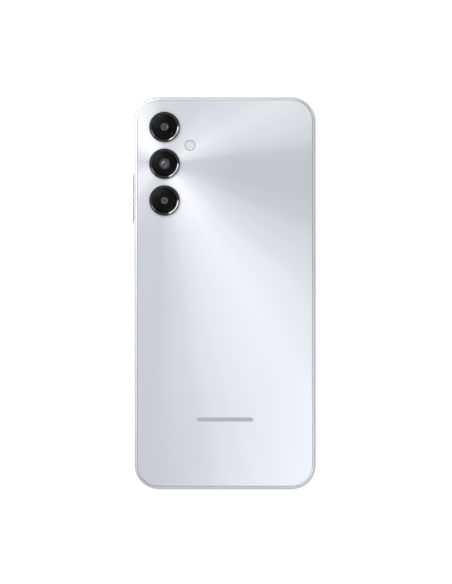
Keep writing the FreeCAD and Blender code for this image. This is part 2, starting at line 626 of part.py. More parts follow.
def side_keys():
    """Volume and power keys, the touch sensor in the power key, and the switches behind them."""
    reach = D["volume_plunger"]
    key("volume_key", "volume_y", "volume_length", "volume_face", [(-reach, 0), (reach, 0)])
    power = key("power_key", "power_y", "power_length", "power_face", [(0, 0)])
    pocket(power, sensor_outline(power, "power_face - over"), "over + sensor_depth", back=True)
    sensor = new_body("fingerprint_sensor")
    pad(sensor, sensor_outline(sensor, "power_face + sensor_depth"), "sensor_depth", back=True)
    ys = ["volume_y - volume_plunger", "volume_y + volume_plunger", "power_y"]
    switches = [block("switch_face + switch_depth / 2", y, "port_level - switch_size / 2",
                      "switch_depth", "switch_size", "switch_size") for y in ys]
    keep(group(*switches), "key_switches")
    back = "switch_face + switch_depth"
    keep(block(f"{back} + flex_depth / 2", "strip_y", "strip_floor", "flex_depth", "strip_length",
               "strip_height"), "side_key_flex")
    keep(block(f"{back} + flex_depth + key_bracket_depth / 2", "strip_y", "strip_floor",
               "key_bracket_depth", "strip_length", "strip_height"), "key_bracket")


# ---------------------------------------------------------------- card tray

def card_tray():
    """Cap outside, plate with three nests behind it, a rubber seal round its root, and the reader."""
    body = new_body("sim_tray")
    side = {"up": "port_level", "out": "body_width / 2 - cap_inset"}
    cap = round_rect(body, "YZ", "cap_length", "cap_height", "cap_height * 0.49",
                     across="tray_y + cap_shift", **side)
    pad(body, cap, "cap_depth", back=True)
    pin_hole = circles(body, "YZ", [(0, 0)], "eject_radius + flush_gap", across="eject_y", **side)
    pocket(body, pin_hole, "cap_depth")
    behind_cap = "body_width / 2 - cap_inset - cap_depth"
    under = "port_level - tray_depth / 2"
    plate = round_rect(body, "XY", f"{behind_cap} - tray_inner_end", "tray_width", "1",
                       across=f"({behind_cap} + tray_inner_end) / 2", up="tray_y", out=under)
    pad(body, plate, "tray_depth")
    root = round_rect(body, "XY", "3", "tray_width", "0.2", across=f"{behind_cap} - 1.5",
                      up="tray_y", out=under)
    pad(body, root, "tray_depth")
    card_nests(body)
    seal_x = f"{behind_cap} - 0.45"
    band = block(seal_x, "tray_y", f"{under} - seal_proud", "seal_width",
                 "tray_width + 2 * seal_proud", "tray_depth + 2 * seal_proud")
    hole = block(seal_x, "tray_y", under, "seal_width", "tray_width", "tray_depth")
    keep(cut(band, hole), "tray_seal")
    shell = block("reader_x", "tray_y", "reader_floor", "reader_length", "tray_width + 1",
                  "reader_height")
    room = block("reader_wall + reader_x", "tray_y", f"{under} - flush_gap", "reader_length",
                 "tray_width + 2 * reader_wall", "tray_depth + 2 * seal_proud")
    pivot_y = "eject_y - eject_arm"
    pivot = disc("lever_x", pivot_y, "reader_floor", "pivot_radius",
                 "reader_height + lever_depth + flush_gap")
    foot = block("lever_x + 1", pivot_y, "reader_floor", "3", "2", "0.5")
    keep(join(cut(shell, room), pivot, foot), "sim_reader")


def card_nests(tray):
    """A step that holds each card by its edge, round a window through the plate."""
    x = D["tray_inner_end"] + D["over"]
    for length, width in CARD_NESTS:
        spot = {"across": x + length / 2, "up": "tray_y", "out": "port_level + tray_depth / 2"}
        nest = round_rect(tray, "XY", length, width, "0.6", **spot)
        pocket(tray, nest, "tray_depth - card_step")
        window = round_rect(tray, "XY", f"{length} - 2 * card_ledge", f"{width} - 2 * card_ledge",
                            "0.6", **spot)
        pocket(tray, window, "tray_depth")
        x += length + D["card_gap"]


def ejector():
    """The pin pushes the rod in; the lever turns and its long arm pushes the tray out."""
    keep(rod("rod_end", "eject_y", "port_level", "eject_radius", "rod_end - rod_start", (-1, 0, 0)),
         "eject_rod")
    pivot_y = "eject_y - eject_arm"
    level = "reader_floor + reader_height + 0.03"
    arms = [block("lever_x", f"{pivot_y} + ({reach}) / 2", level, "lever_width",
                  f"{length} + lever_width", "lever_depth", corner=0.6)
            for reach, length in (("0 - lever_arm", "lever_arm"), ("eject_arm", "eject_arm"))]
    bore = disc("lever_x", pivot_y, level, "lever_bore", "lever_depth")
    keep(cut(join(*arms), bore), "eject_lever")


# ---------------------------------------------------------------- bottom of the phone

def bottom_parts():
    """The lower board with the connector, the jack, the microphones and the sound meshes."""
    board = block("sub_board_x", "sub_board_y", "plate_top", "sub_board_width", "sub_board_length",
                  "sub_board_depth", corner=1.0)
    ways = boss_ways(USB_BOSSES, "plate_top", "sub_board_depth")
    ways.append(block("0", "display_tail_y", "plate_top", "display_tail_width + 6 * sheet_depth",
                      "11 * sheet_depth", "sub_board_depth"))
    keep(cut(board, *ways), "sub_board")
    usb_connector()
    headphone_jack()
    microphones = [block("mic_x", "-78.6", "plate_top + sub_board_depth", "mic_width",
                         "mic_length", "mic_height"),
                   block("mic_x", "79", "board_level + board_depth", "mic_width", "mic_length",
                         "mic_height")]
    keep(group(*microphones), "microphones")
    meshes = [block("grille_x", "mesh_y", "port_level - mesh_height / 2", "mesh_width",
                    "mesh_depth", "mesh_height"),
              block("0", "ear_slot_y", "glass_depth", "ear_slot_length + 1", "1.4", "sheet_depth")]
    keep(group(*meshes), "sound_meshes")


def usb_connector():
    """A rounded shell with a tongue inside, held down by a strap."""
    mouth = {"up": "port_level", "out": "body_length / 2 - usb_recess"}
    shell = new_body("usb_shell")
    outer = round_rect(shell, "XZ", "usb_width", "usb_height", "usb_height * 0.49", **mouth)
    pad(shell, outer, "usb_length", back=True)
    inner_height = "usb_height - 2 * usb_wall"
    inner = round_rect(shell, "XZ", "usb_width - 2 * usb_wall", inner_height,
                       f"({inner_height}) * 0.49", **mouth)
    pocket(shell, inner, "usb_length")
    back = "usb_recess + usb_length - body_length / 2"
    tongue = block("0", f"{back} - usb_tongue_length / 2 - usb_base_depth / 2",
                   "port_level - usb_tongue_depth / 2", "usb_tongue_width", "usb_tongue_length",
                   "usb_tongue_depth")
    base = block("0", f"{back} - usb_base_depth / 2", "port_level - usb_base_height / 2",
                 "usb_base_width", "usb_base_depth", "usb_base_height")
    keep(join(tongue, base), "usb_tongue")
    strap = block("0", "strap_y", "port_level + usb_height / 2", "strap_width", "strap_length",
                  "strap_depth", corner=1.0)
    ways = [disc(x, y, "port_level", "boss_hole + screw_play", "usb_height") for x, y in USB_BOSSES]
    keep(cut(strap, *ways), "usb_bracket")


def headphone_jack():
    mouth = "jack_flush - body_length / 2"
    nose = rod("jack_x", mouth, "port_level", "jack_nose", "wall - jack_flush", (0, 1, 0))
    case = block("jack_x", "jack_case_y", "port_level - jack_height / 2", "jack_width",
                 "jack_case_length", "jack_height", corner=0.5)
    bore = rod("jack_x", mouth, "port_level", "jack_bore", "jack_length", (0, 1, 0))
    keep(cut(join(nose, case), bore), "headphone_jack")


def sound_box(kind, x, y, floor, height, wall, driver):
    """A box and the room inside it, in which a diaphragm of the driver's width and length floats."""
    corner = D[f"{kind}_corner"]
    outer = block(x, y, floor, f"{kind}_width", f"{kind}_length", height, corner=corner)
    room = block(x, y, f"{floor} + {wall}", f"{kind}_width - 2 * {wall}", f"{kind}_length - 2 * {wall}",
                 f"{height} - 2 * {wall}", corner=corner - D[wall])
    diaphragm = block(x, y, f"{floor} + ({height}) / 2 - diaphragm_depth / 2", driver[0], driver[1],
                      "diaphragm_depth", corner=D["diaphragm_corner"])
    return outer, room, diaphragm


def loudspeaker_and_earpiece():
    outer, room, diaphragm = sound_box("speaker", "speaker_x", "speaker_y", "speaker_floor",
                                       "speaker_top - speaker_floor", "speaker_wall", (16, 9))
    keep(diaphragm, "loudspeaker_diaphragm")
    ear = block("speaker_x", "speaker_ear_y", "upper_boss_top", "speaker_ear_width",
                "speaker_ear_length", "speaker_top - upper_boss_top", corner=1.5)
    holes = [disc(x, y, "upper_boss_top", "boss_hole + screw_play", "speaker_top - upper_boss_top")
             for x, y in SPEAKER_BOSSES]
    duct = block("grille_x", "duct_y", "port_level - duct_height / 2", "duct_width", "duct_length",
                 "duct_height")
    keep(cut(join(outer, ear), room, duct, *holes), "loudspeaker_box")
    keep(block("speaker_x", "speaker_y", "speaker_floor + speaker_wall", "magnet_width",
               "magnet_length", "magnet_depth"), "loudspeaker_magnet")
    outer, room, diaphragm = sound_box("earpiece", "0", "earpiece_y", "plate_top",
                                       "earpiece_height", "earpiece_wall", (9, 3.2))
    keep(diaphragm, "earpiece_diaphragm")
    outlet = block("0", "plate_slot_y", "plate_top", "outlet_width", "outlet_length", "0.5")
    keep(cut(outer, room, outlet), "earpiece_case")


def vibration_motor():
    """A coin motor: an uneven weight that turns on a fixed shaft inside a can."""
    spot = ("motor_x", "motor_y")
    can = disc(*spot, "plate_top", "motor_radius", "motor_height")
    room = disc(*spot, "plate_top + motor_wall", "motor_radius - motor_wall",
                "motor_height - 2 * motor_wall")
    shaft = disc(*spot, "plate_top", "motor_shaft", "motor_height")
    keep(join(cut(can, room), shaft), "vibration_motor_case")
    wheel = disc(*spot, "plate_top + rotor_lift", "motor_radius - motor_wall - rotor_play",
                 "rotor_depth")
    missing = block("motor_x", "motor_y - motor_radius / 2 - rotor_notch", "plate_top",
                    "motor_radius * 2", "motor_radius", "motor_height")
    bore = disc(*spot, "plate_top", "motor_shaft + motor_play", "motor_height")
    keep(cut(wheel, missing, bore), "vibration_motor_rotor")


def screws():
    """Small machine screws with round heads, heads up."""
    made = []
    for spots, seat in ((UPPER_BOSSES, "upper_boss_top + bracket_depth"),
                        (SPEAKER_BOSSES, "speaker_top"),
                        (USB_BOSSES, "port_level + usb_height / 2 + strap_depth")):
        for x, y in spots:
            head = disc(x, y, seat, "screw_head", "screw_head_depth")
            shank = disc(x, y, f"{seat} - screw_length", "screw_shank", "screw_length")
            made.append(join(head, shank))
    keep(group(*made), "screws")


side_frame()
rear_cover()
flat_ring("rear_cover_tape", "body_depth - cover_depth - tape_depth", "tape_depth",
          "rim_width + 4 * flush_gap", "wall - 2 * flush_gap")
cameras_and_flash_glass()
display()
chassis_plate()
main_board()
battery()
coaxial_cable()
camera_modules()
side_keys()
card_tray()
ejector()
bottom_parts()
loudspeaker_and_earpiece()
vibration_motor()
screws()
doc.recompute()

for thing in doc.Objects:
    if "Invalid" in thing.State or "Error" in thing.State:
        raise RuntimeError(f"{thing.Label} ({thing.TypeId}) failed: {thing.State}")
    if thing.TypeId == "PartDesign::Pocket":
        if thing.BaseFeature.Shape.Volume - thing.Shape.Volume < 1e-4:
            raise RuntimeError(f"{thing.Name} cuts nothing")
for node in nodes:
    if node.Shape.isNull() or not node.Shape.isValid() or not node.Shape.Solids:
        raise RuntimeError(f"{node.Label} has no valid solid")
    print(f"{node.Label:28s} {len(node.Shape.Solids)} solid(s) {node.Shape.Volume:10.2f} mm3")

os.makedirs("parts", exist_ok=True)
for node in nodes:
    node.Shape.exportStep(f"parts/{node.Label}.step")
print(len(nodes), "nodes")
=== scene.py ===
import json
import math

import bmesh
import bpy
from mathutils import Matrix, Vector


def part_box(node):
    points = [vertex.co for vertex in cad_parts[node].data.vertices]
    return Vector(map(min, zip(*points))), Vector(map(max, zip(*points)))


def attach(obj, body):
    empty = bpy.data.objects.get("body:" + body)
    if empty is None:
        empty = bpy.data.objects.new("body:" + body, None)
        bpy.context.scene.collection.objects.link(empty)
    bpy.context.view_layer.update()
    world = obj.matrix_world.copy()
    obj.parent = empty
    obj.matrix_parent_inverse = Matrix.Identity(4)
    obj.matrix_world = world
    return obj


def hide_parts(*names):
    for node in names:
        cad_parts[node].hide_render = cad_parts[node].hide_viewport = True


# A smartphone lying face down, seen from straight above its back. Everything is in metres, in the
# row frame: X to the right, Y towards the cameras, Z out of the back.

MM = 0.001
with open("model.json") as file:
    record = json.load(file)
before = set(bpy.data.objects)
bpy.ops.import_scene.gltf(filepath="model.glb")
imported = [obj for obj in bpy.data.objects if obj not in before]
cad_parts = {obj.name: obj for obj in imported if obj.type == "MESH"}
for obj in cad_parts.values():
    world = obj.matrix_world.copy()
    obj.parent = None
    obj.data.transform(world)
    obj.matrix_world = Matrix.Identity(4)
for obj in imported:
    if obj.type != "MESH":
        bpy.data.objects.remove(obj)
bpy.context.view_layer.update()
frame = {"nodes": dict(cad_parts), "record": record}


# ---------------------------------------------------------------- places, read from the frame

def centre(node):
    low, high = (Vector(corner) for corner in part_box(node))
    return (low + high) / 2


def size(node):
    low, high = (Vector(corner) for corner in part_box(node))
    return high - low


def top(node):
    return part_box(node)[1][2]


LENSES = {name: centre("lens_ring_" + name) for name in ("upper", "middle", "lower")}
RING_RADIUS = size("lens_ring_upper").x / 2
PANEL_TOP = top("rear_cover")
MARK = Vector((0.0, -54.0 * MM, PANEL_TOP))
MARK_HALF_LENGTH, MARK_HALF_HEIGHT = 12.0 * MM, 0.9 * MM


# ---------------------------------------------------------------- material helper

class Paint:
    """A material with a Principled shader, to which a line each adds nodes and links."""

    def __init__(self, name, **values):
        self.material = bpy.data.materials.new(name)
        self.material.use_nodes = True
        self.tree = self.material.node_tree
        self.shader = self.tree.nodes["Principled BSDF"]
        self.place = self.node("ShaderNodeTexCoord").outputs["Object"]
        self.set(**values)

    def set(self, **values):
        """Sets the shader's sockets: spaces in their names are written as underscores."""
        for name, value in values.items():
            self.fill(self.shader.inputs[name.replace("_", " ")], value)

    def fill(self, socket, value):
        if isinstance(value, bpy.types.NodeSocket):
            self.tree.links.new(value, socket)
        elif isinstance(value, (tuple, list)) and len(value) == 3 and len(socket.default_value) == 4:
            socket.default_value = (*value, 1.0)
        else:
            socket.default_value = value

    def node(self, kind, *inputs, **settings):
        """Makes a node, fills its first inputs in order and sets its properties by name."""
        made = self.tree.nodes.new(kind)
        for name, value in settings.items():
            setattr(made, name, value)
        for socket, value in zip(made.inputs, inputs):
            self.fill(socket, value)
        return made

    def math(self, operation, *inputs, clamp=False):
        return self.node("ShaderNodeMath", *inputs, operation=operation, use_clamp=clamp).outputs[0]

    def offset(self, point):
        """The place relative to a point."""
        made = self.node("ShaderNodeVectorMath", self.place, tuple(point), operation="SUBTRACT")
        return made.outputs[0]

    def noise(self, scale, detail=2.0, vector=None):
        made = self.node("ShaderNodeTexNoise", vector or self.place)
        made.inputs["Scale"].default_value = scale
        made.inputs["Detail"].default_value = detail
        return made.outputs["Fac"]

    def drift(self, noise, low, high):
        """Spreads a noise, which mostly keeps between 0.3 and 0.7, over a range."""
        return self.remap(noise, 0.3, 0.7, low, high)

    def remap(self, value, low, high, new_low, new_high):
        """Carries a range over to a new one, clamped at its ends."""
        return self.node("ShaderNodeMapRange", value, low, high, new_low, new_high).outputs[0]

    def mix(self, factor, first, second, blend="MIX"):
        made = self.tree.nodes.new("ShaderNodeMix")
        made.data_type = "RGBA"
        made.blend_type = blend
        for name, value in (("Factor_Float", factor), ("A_Color", first), ("B_Color", second)):
            socket = next(s for s in made.inputs if s.identifier == name)
            self.fill(socket, value)
        return next(s for s in made.outputs if s.identifier == "Result_Color")

    def shaded(self, colour, value):
        """A colour made lighter or darker by a value."""
        tone = self.node("ShaderNodeCombineColor", value, value, value).outputs[0]
        return self.mix(1.0, colour, tone, "MULTIPLY")

    def distance(self, point):
        """Distance across the back from a point, whatever the height."""
        x, y, _ = self.node("ShaderNodeSeparateXYZ", self.offset(point)).outputs
        flat = self.node("ShaderNodeCombineXYZ", x, y, 0.0).outputs[0]
        return self.node("ShaderNodeVectorMath", flat, operation="LENGTH").outputs["Value"]

    def ramp(self, value, stops):
        """A smooth ramp of colours over a value from nought to one."""
        made = self.node("ShaderNodeValToRGB", value)
        ramp = made.color_ramp
        ramp.interpolation = "EASE"
        while len(ramp.elements) < len(stops):
            ramp.elements.new(0.5)
        for element, (position, colour) in zip(ramp.elements, stops):
            element.position = position
            element.color = (*colour, 1.0)
        return made.outputs["Color"]

    def bump(self, height, strength, distance, normal="Normal"):
        """Unevenness of the surface, or of the coat over it."""
        made = self.tree.nodes.new("ShaderNodeBump")
        made.inputs["Strength"].default_value = strength
        made.inputs["Distance"].default_value = distance
        self.tree.links.new(height, made.inputs["Height"])
        self.tree.links.new(made.outputs["Normal"], self.shader.inputs[normal])


def grey(tone, blue=0.0):
    """A neutral colour from its 0 to 255 screen tone, cooler as blue grows, in linear light."""
    def linear(value):
        value = min(max(value / 255.0, 0.0), 1.0)
        return value / 12.92 if value <= 0.04045 else ((value + 0.055) / 1.055) ** 2.4
    return (linear(tone - 0.35 * blue), linear(tone), linear(tone + 0.65 * blue))


# ---------------------------------------------------------------- materials of the shell

# Tone and coolness of the pearl print by its direction in degrees from the middle lens, counted from +X
# towards +Y. The light and dark rays in them are painted sheen, a painted reflection of the radial grain.
# The tones were measured in the photograph and then set.
PAINTED_SHEEN_TONES = [(0, 200, 8), (6, 203, 8), (12, 216, 8), (18, 222, 7), (28, 229, 6), (42, 221, 8),
               (66, 211, 9), (92, 212, 8), (104, 230, 7), (118, 243, 8), (138, 242, 8), (158, 223, 7),
               (176, 207, 7), (192, 220, 6), (206, 231, 5), (224, 227, 6), (240, 214, 7), (256, 209, 8),
               (266, 208, 8), (275, 219, 9), (283, 230, 9), (288, 235, 9), (294, 239, 9), (302, 243, 9),
               (312, 236, 8), (324, 223, 8), (331, 217, 8), (341, 205, 8), (350, 200, 7), (360, 200, 8)]
# What the studio's light multiplies the print's colour by, and what the coat's gloss adds to it, as
# measured in renders. Under another light the print shows other tones.
PEARL_LIGHT, PEARL_GLOSS = 1.53, 0.06


def pearl_colour(tone, blue):
    """Base colour that shows as the tone wanted under the studio's light and the coat's gloss."""
    return tuple(max(c - PEARL_GLOSS, 0.02) / PEARL_LIGHT for c in grey(tone, blue))


def painted_sheen_sweep(paint, away):
    """The print's colour by direction, with its rays of painted sheen: a conic ramp whose rays waver a
    little.
    """
    x, y, _ = paint.node("ShaderNodeSeparateXYZ", away).outputs
    turn = paint.math("DIVIDE", paint.math("ARCTAN2", y, x), 2 * math.pi)
    turn = paint.math("FRACT", paint.math("ADD", turn, 1.0))
    waver = paint.math("MULTIPLY", paint.math("SUBTRACT", paint.noise(18.0, 1.0), 0.5), 0.02)
    turn = paint.math("ADD", turn, waver, clamp=True)
    stops = [(angle / 360.0, pearl_colour(tone, blue)) for angle, tone, blue in PAINTED_SHEEN_TONES]
    return paint.ramp(turn, stops)


def painted_light_lift(paint):
    """Painted light on the print: lighter round the middle lens, at the lower right and along the panel's
    rim.
    """
    x, y, height = paint.node("ShaderNodeSeparateXYZ", paint.offset((0.0, 0.0, PANEL_TOP))).outputs
    # Painted light to the lower right, a painted highlight along the panel's rim, painted light round the
    # middle lens.
    painted_light_lower_right = paint.remap(paint.math("SUBTRACT", x, y), 60 * MM, 110 * MM, 1.0, 1.09)
    painted_edge_highlight = paint.remap(height, -0.02 * MM, -0.15 * MM, 1.0, 1.7)
    painted_light_round_lens = paint.remap(paint.distance(LENSES["middle"]), 10 * MM, 32 * MM, 1.12, 1.0)
    return paint.math("MULTIPLY", painted_light_round_lens, paint.math("MULTIPLY", painted_light_lower_right, painted_edge_highlight))


def printed_bar(paint):
    """One where a small plain bar with round ends is printed, else nought."""
    x, y, _ = paint.node("ShaderNodeSeparateXYZ", paint.offset(MARK)).outputs
    straight = MARK_HALF_LENGTH - MARK_HALF_HEIGHT
    past = paint.math("MAXIMUM", paint.math("SUBTRACT", paint.math("ABSOLUTE", x), straight), 0.0)
    away = paint.node("ShaderNodeCombineXYZ", past, y, 0.0).outputs[0]
    distance = paint.node("ShaderNodeVectorMath", away, operation="LENGTH").outputs["Value"]
    return paint.remap(distance, MARK_HALF_HEIGHT, MARK_HALF_HEIGHT - 0.05 * MM, 0.0, 1.0)


def pearl_print_and_painted_sheen():
    """Clear-coated panel over a print whose pearl grain runs out from the middle lens, with painted sheen
    and light.
    """
    paint = Paint("pearl_print_and_painted_sheen", Roughness=0.4, Specular_IOR_Level=0.2, Coat_Weight=1.0,
                  Coat_Roughness=0.05, Anisotropic=0.5)
    away = paint.offset(LENSES["middle"])
    flake = paint.drift(paint.noise(5200.0), 0.985, 1.015)
    # The pearl colour carries the painted sheen of the rays and the painted light of the lift, with flakes.
    pearl = paint.shaded(painted_sheen_sweep(paint, away), paint.math("MULTIPLY", flake, painted_light_lift(paint)))
    radial = paint.node("ShaderNodeVectorMath", away, operation="NORMALIZE").outputs[0]
    paint.set(Base_Color=paint.mix(printed_bar(paint), pearl, pearl_colour(186, 10)), Tangent=radial)
    paint.bump(paint.noise(900.0, 3.0), 0.02, 0.02 * MM)
    return paint.material


def silver_paint(name, tone, roughness=0.3):
    """Metallic paint on moulded plastic: fine flakes and a faint orange peel."""
    paint = Paint(name, Metallic=0.85, Coat_Weight=0.3, Coat_Roughness=0.12)
    flake = paint.drift(paint.noise(9000.0, 1.0), 0.95, 1.05)
    cloud = paint.drift(paint.noise(60.0), 0.985, 1.015)
    paint.set(Base_Color=paint.shaded(grey(tone, 5), paint.math("MULTIPLY", flake, cloud)),
              Roughness=paint.drift(paint.noise(400.0, 3.0), roughness - 0.02, roughness + 0.03))
    paint.bump(paint.noise(2500.0), 0.02, 0.01 * MM)
    return paint.material


def lens_ring_metal(name, middle):
    """Black anodised ring with a brighter polished bevel round the glass."""
    paint = Paint("ring_" + name, Metallic=1.0)
    bevel_outer = RING_RADIUS * 0.941
    bevel = paint.remap(paint.distance(middle), bevel_outer, bevel_outer - 0.03 * MM, 0.0, 1.0)
    lathe = paint.drift(paint.noise(9000.0, 1.0), 0.9, 1.1)
    colour = paint.mix(bevel, (0.006, 0.006, 0.007), (0.065, 0.065, 0.068))
    paint.set(Base_Color=paint.shaded(colour, lathe), Roughness=paint.remap(bevel, 0.0, 1.0, 0.4, 0.12))
    paint.bump(paint.noise(2600.0), 0.03, 0.01 * MM)
    return paint.material


# ---------------------------------------------------------------- materials of everything else

def plain(name, colour, roughness, metallic=0.0, grain=2500.0, spread=0.12, **more):
    """A material with fine variation in tone, gloss and surface."""
    paint = Paint(name, Metallic=metallic, **more)
    speck = paint.noise(grain, 3.0)
    cloud = paint.noise(grain / 30)
    shade = paint.math("MULTIPLY", paint.drift(speck, 1 - spread, 1 + spread),
                       paint.drift(cloud, 1 - spread / 2, 1 + spread / 2))
    paint.set(Base_Color=paint.shaded(colour, shade),
              Roughness=paint.drift(cloud, roughness - 0.05, roughness + 0.07))
    paint.bump(speck, 0.08, 0.02 * MM)
    return paint.material


def brushed(name, colour, roughness, along=(1.0, 40.0, 40.0)):
    """Rolled or brushed metal: streaks along the direction that is stretched least."""
    paint = Paint(name, Metallic=1.0)
    stretched = paint.node("ShaderNodeVectorMath", paint.place, along, operation="MULTIPLY").outputs[0]
    streak = paint.noise(300.0, 3.0, stretched)
    paint.set(Base_Color=paint.shaded(colour, paint.drift(streak, 0.85, 1.1)),
              Roughness=paint.drift(streak, roughness - 0.06, roughness + 0.1))
    paint.bump(streak, 0.05, 0.01 * MM)
    return paint.material


def clear_glass(name, colour):
    """Glass with the faintest unevenness."""
    paint = Paint(name, Transmission_Weight=1.0, IOR=1.5)
    smear = paint.noise(120.0, 3.0)
    paint.set(Base_Color=paint.mix(paint.drift(smear, 0.0, 0.12), colour, (1.0, 1.0, 1.0)),
              Roughness=paint.drift(smear, 0.02, 0.035))
    return paint.material


def cover_glass():
    """Anti-reflective tinted glass over the cameras, with a weak soft sheen as if it bulged slightly."""
    paint = Paint("lens_cover_glass", Transmission_Weight=1.0, IOR=1.2, Specular_IOR_Level=0.03,
                  Coat_Weight=0.11)
    smear = paint.noise(150.0, 3.0)
    paint.set(Base_Color=paint.mix(smear, (0.48, 0.48, 0.49), (0.52, 0.52, 0.53)),
              Roughness=paint.drift(smear, 0.0, 0.02), Coat_Roughness=paint.drift(smear, 0.21, 0.24))
    bulges = 0.0
    for middle in LENSES.values():
        outward = paint.math("DIVIDE", paint.distance(middle), RING_RADIUS, clamp=True)
        bulges = paint.math("SUBTRACT", bulges, paint.math("POWER", outward, 2.0))
    paint.bump(bulges, 1.0, 0.55 * MM, "Coat Normal")
    return paint.material


def flash_plastic():
    """Milky clear moulding, greyer in its rim and in the grooves of its rings."""
    paint = Paint("flash_clear", Transmission_Weight=0.5, IOR=1.46, Roughness=0.1)
    radius = size("flash_window").x / 2
    away = paint.distance(centre("flash_window"))
    rim = paint.remap(away, radius * 0.82, radius * 0.95, 0.0, 1.0)
    ripple = paint.math("SINE", paint.math("MULTIPLY", away, 6 * math.pi / radius))
    cloud = paint.remap(paint.math("ADD", ripple, paint.noise(1500.0)), -1.0, 2.0, 0.0, 1.0)
    clear = paint.mix(cloud, (0.66, 0.68, 0.67), (0.84, 0.85, 0.84))
    paint.set(Base_Color=paint.mix(rim, clear, (0.4, 0.41, 0.4)))
    return paint.material


def display_black():
    """Cover glass over a dark display: gloss black with a faint depth of colour."""
    paint = Paint("display_black", Roughness=0.05, Coat_Weight=1.0, Coat_Roughness=0.02)
    haze = paint.noise(90.0)
    paint.set(Base_Color=paint.mix(haze, (0.003, 0.003, 0.004), (0.008, 0.008, 0.011)))
    return paint.material


def circuit_green():
    """Solder mask with traces that show as slightly lighter lines."""
    paint = Paint("circuit_green", Roughness=0.35)
    cells = paint.node("ShaderNodeTexVoronoi", paint.place, distance="MANHATTAN",
                       feature="DISTANCE_TO_EDGE")
    cells.inputs["Scale"].default_value = 700.0
    line = paint.remap(cells.outputs["Distance"], 0.02, 0.05, 1.0, 0.0)
    paint.set(Base_Color=paint.mix(line, (0.01, 0.07, 0.045), (0.03, 0.16, 0.1)))
    paint.bump(line, 0.2, 0.02 * MM)
    return paint.material


def fabric_mesh():
    """Fine woven mesh over a sound outlet."""
    paint = Paint("fabric_mesh", Roughness=0.8)
    weave = paint.node("ShaderNodeTexVoronoi", paint.place, distance="CHEBYCHEV")
    weave.inputs["Scale"].default_value = 5000.0
    paint.set(Base_Color=paint.mix(weave.outputs["Distance"], (0.01, 0.01, 0.011), (0.05, 0.05, 0.055)))
    paint.bump(weave.outputs["Distance"], 0.6, 0.05 * MM)
    return paint.material


def slot_materials():
    """One finished material for each of the record's material slots."""
    return {
        "frame": silver_paint("frame_paint", 178),
        "key_plastic": silver_paint("key_paint", 190, 0.26),
        "tray_plastic": silver_paint("tray_paint", 178),
        "rear_panel": pearl_print_and_painted_sheen(),
        "adhesive": plain("adhesive_foam", (0.02, 0.02, 0.022), 0.75),
        "flex_film": plain("flex_film", (0.2, 0.11, 0.025), 0.3, grain=900.0, Coat_Weight=0.4),
        "chassis_metal": brushed("chassis_metal", (0.5, 0.51, 0.53), 0.42),
        "circuit_board": circuit_green(),
        "stamped_steel": brushed("stamped_steel", (0.56, 0.56, 0.57), 0.28),
        "connector_steel": brushed("connector_steel", (0.42, 0.43, 0.44), 0.25, along=(40.0, 1.0, 40.0)),
        "chip_resin": plain("chip_resin", (0.02, 0.02, 0.022), 0.5),
        "battery_wrap": plain("battery_wrap", (0.03, 0.03, 0.034), 0.38, grain=600.0),
        "graphite": plain("graphite", (0.07, 0.07, 0.075), 0.4, metallic=0.5),
        "cable_jacket": plain("cable_jacket", (0.6, 0.6, 0.58), 0.4),
        "camera_housing": plain("camera_housing", (0.012, 0.012, 0.014), 0.5),
        "led_phosphor": plain("led_phosphor", (0.95, 0.94, 0.89), 0.5, spread=0.04),
        "sensor_face": plain("sensor_face", grey(222, 4), 0.22, metallic=0.3, spread=0.03, Coat_Weight=0.5),
        "seal_rubber": plain("seal_rubber", (0.012, 0.012, 0.012), 0.7),
        "black_plastic": plain("black_plastic", (0.014, 0.014, 0.016), 0.45),
        "diaphragm_film": plain("diaphragm_film", (0.03, 0.03, 0.035), 0.25),
        "magnet": brushed("magnet_nickel", (0.6, 0.59, 0.56), 0.2),
        "microphone_can": plain("microphone_can", (0.7, 0.55, 0.25), 0.3, metallic=1.0),
        "mesh_fabric": fabric_mesh(),
        "rotor_metal": plain("rotor_metal", (0.3, 0.3, 0.31), 0.45, metallic=1.0),
        "screw_steel": brushed("screw_steel", (0.45, 0.45, 0.47), 0.3),
        "backlight": plain("backlight_film", (0.8, 0.8, 0.8), 0.4),
        "display_cell": display_black(),
        "display_glass": display_black(),
        "lens_glass": cover_glass(),
        "lens_element": clear_glass("lens_element", (0.8, 0.8, 0.84)),
        "flash_window": flash_plastic(),
    }


def finish_nodes():
    """Gives each CAD node the material of its slot; each lens ring has one about its own centre."""
    finished = slot_materials()
    for row in frame["record"]["subparts"]:
        name, slot = row["node"], row["material_slot"]
        shown = frame["nodes"][name]
        if slot == "lens_ring":
            ring = name.rsplit("_", 1)[1]
            material = lens_ring_metal(ring, LENSES[ring])
        else:
            material = finished[slot]
        shown.data.materials.clear()
        shown.data.materials.append(material)
    return finished


# ---------------------------------------------------------------- mesh helpers

def mesh_object(name, build, material, body="phone", smooth=True):
    """A new piece made by build(bm), riding on a body."""
    bm = bmesh.new()
    build(bm)
    bmesh.ops.recalc_face_normals(bm, faces=bm.faces)
    mesh = bpy.data.meshes.new(name)
    bm.to_mesh(mesh)
    bm.free()
    piece = bpy.data.objects.new(name, mesh)
    bpy.context.scene.collection.objects.link(piece)
    for polygon in mesh.polygons:
        polygon.use_smooth = smooth
    mesh.materials.append(material)
    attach(piece, body)
    return piece


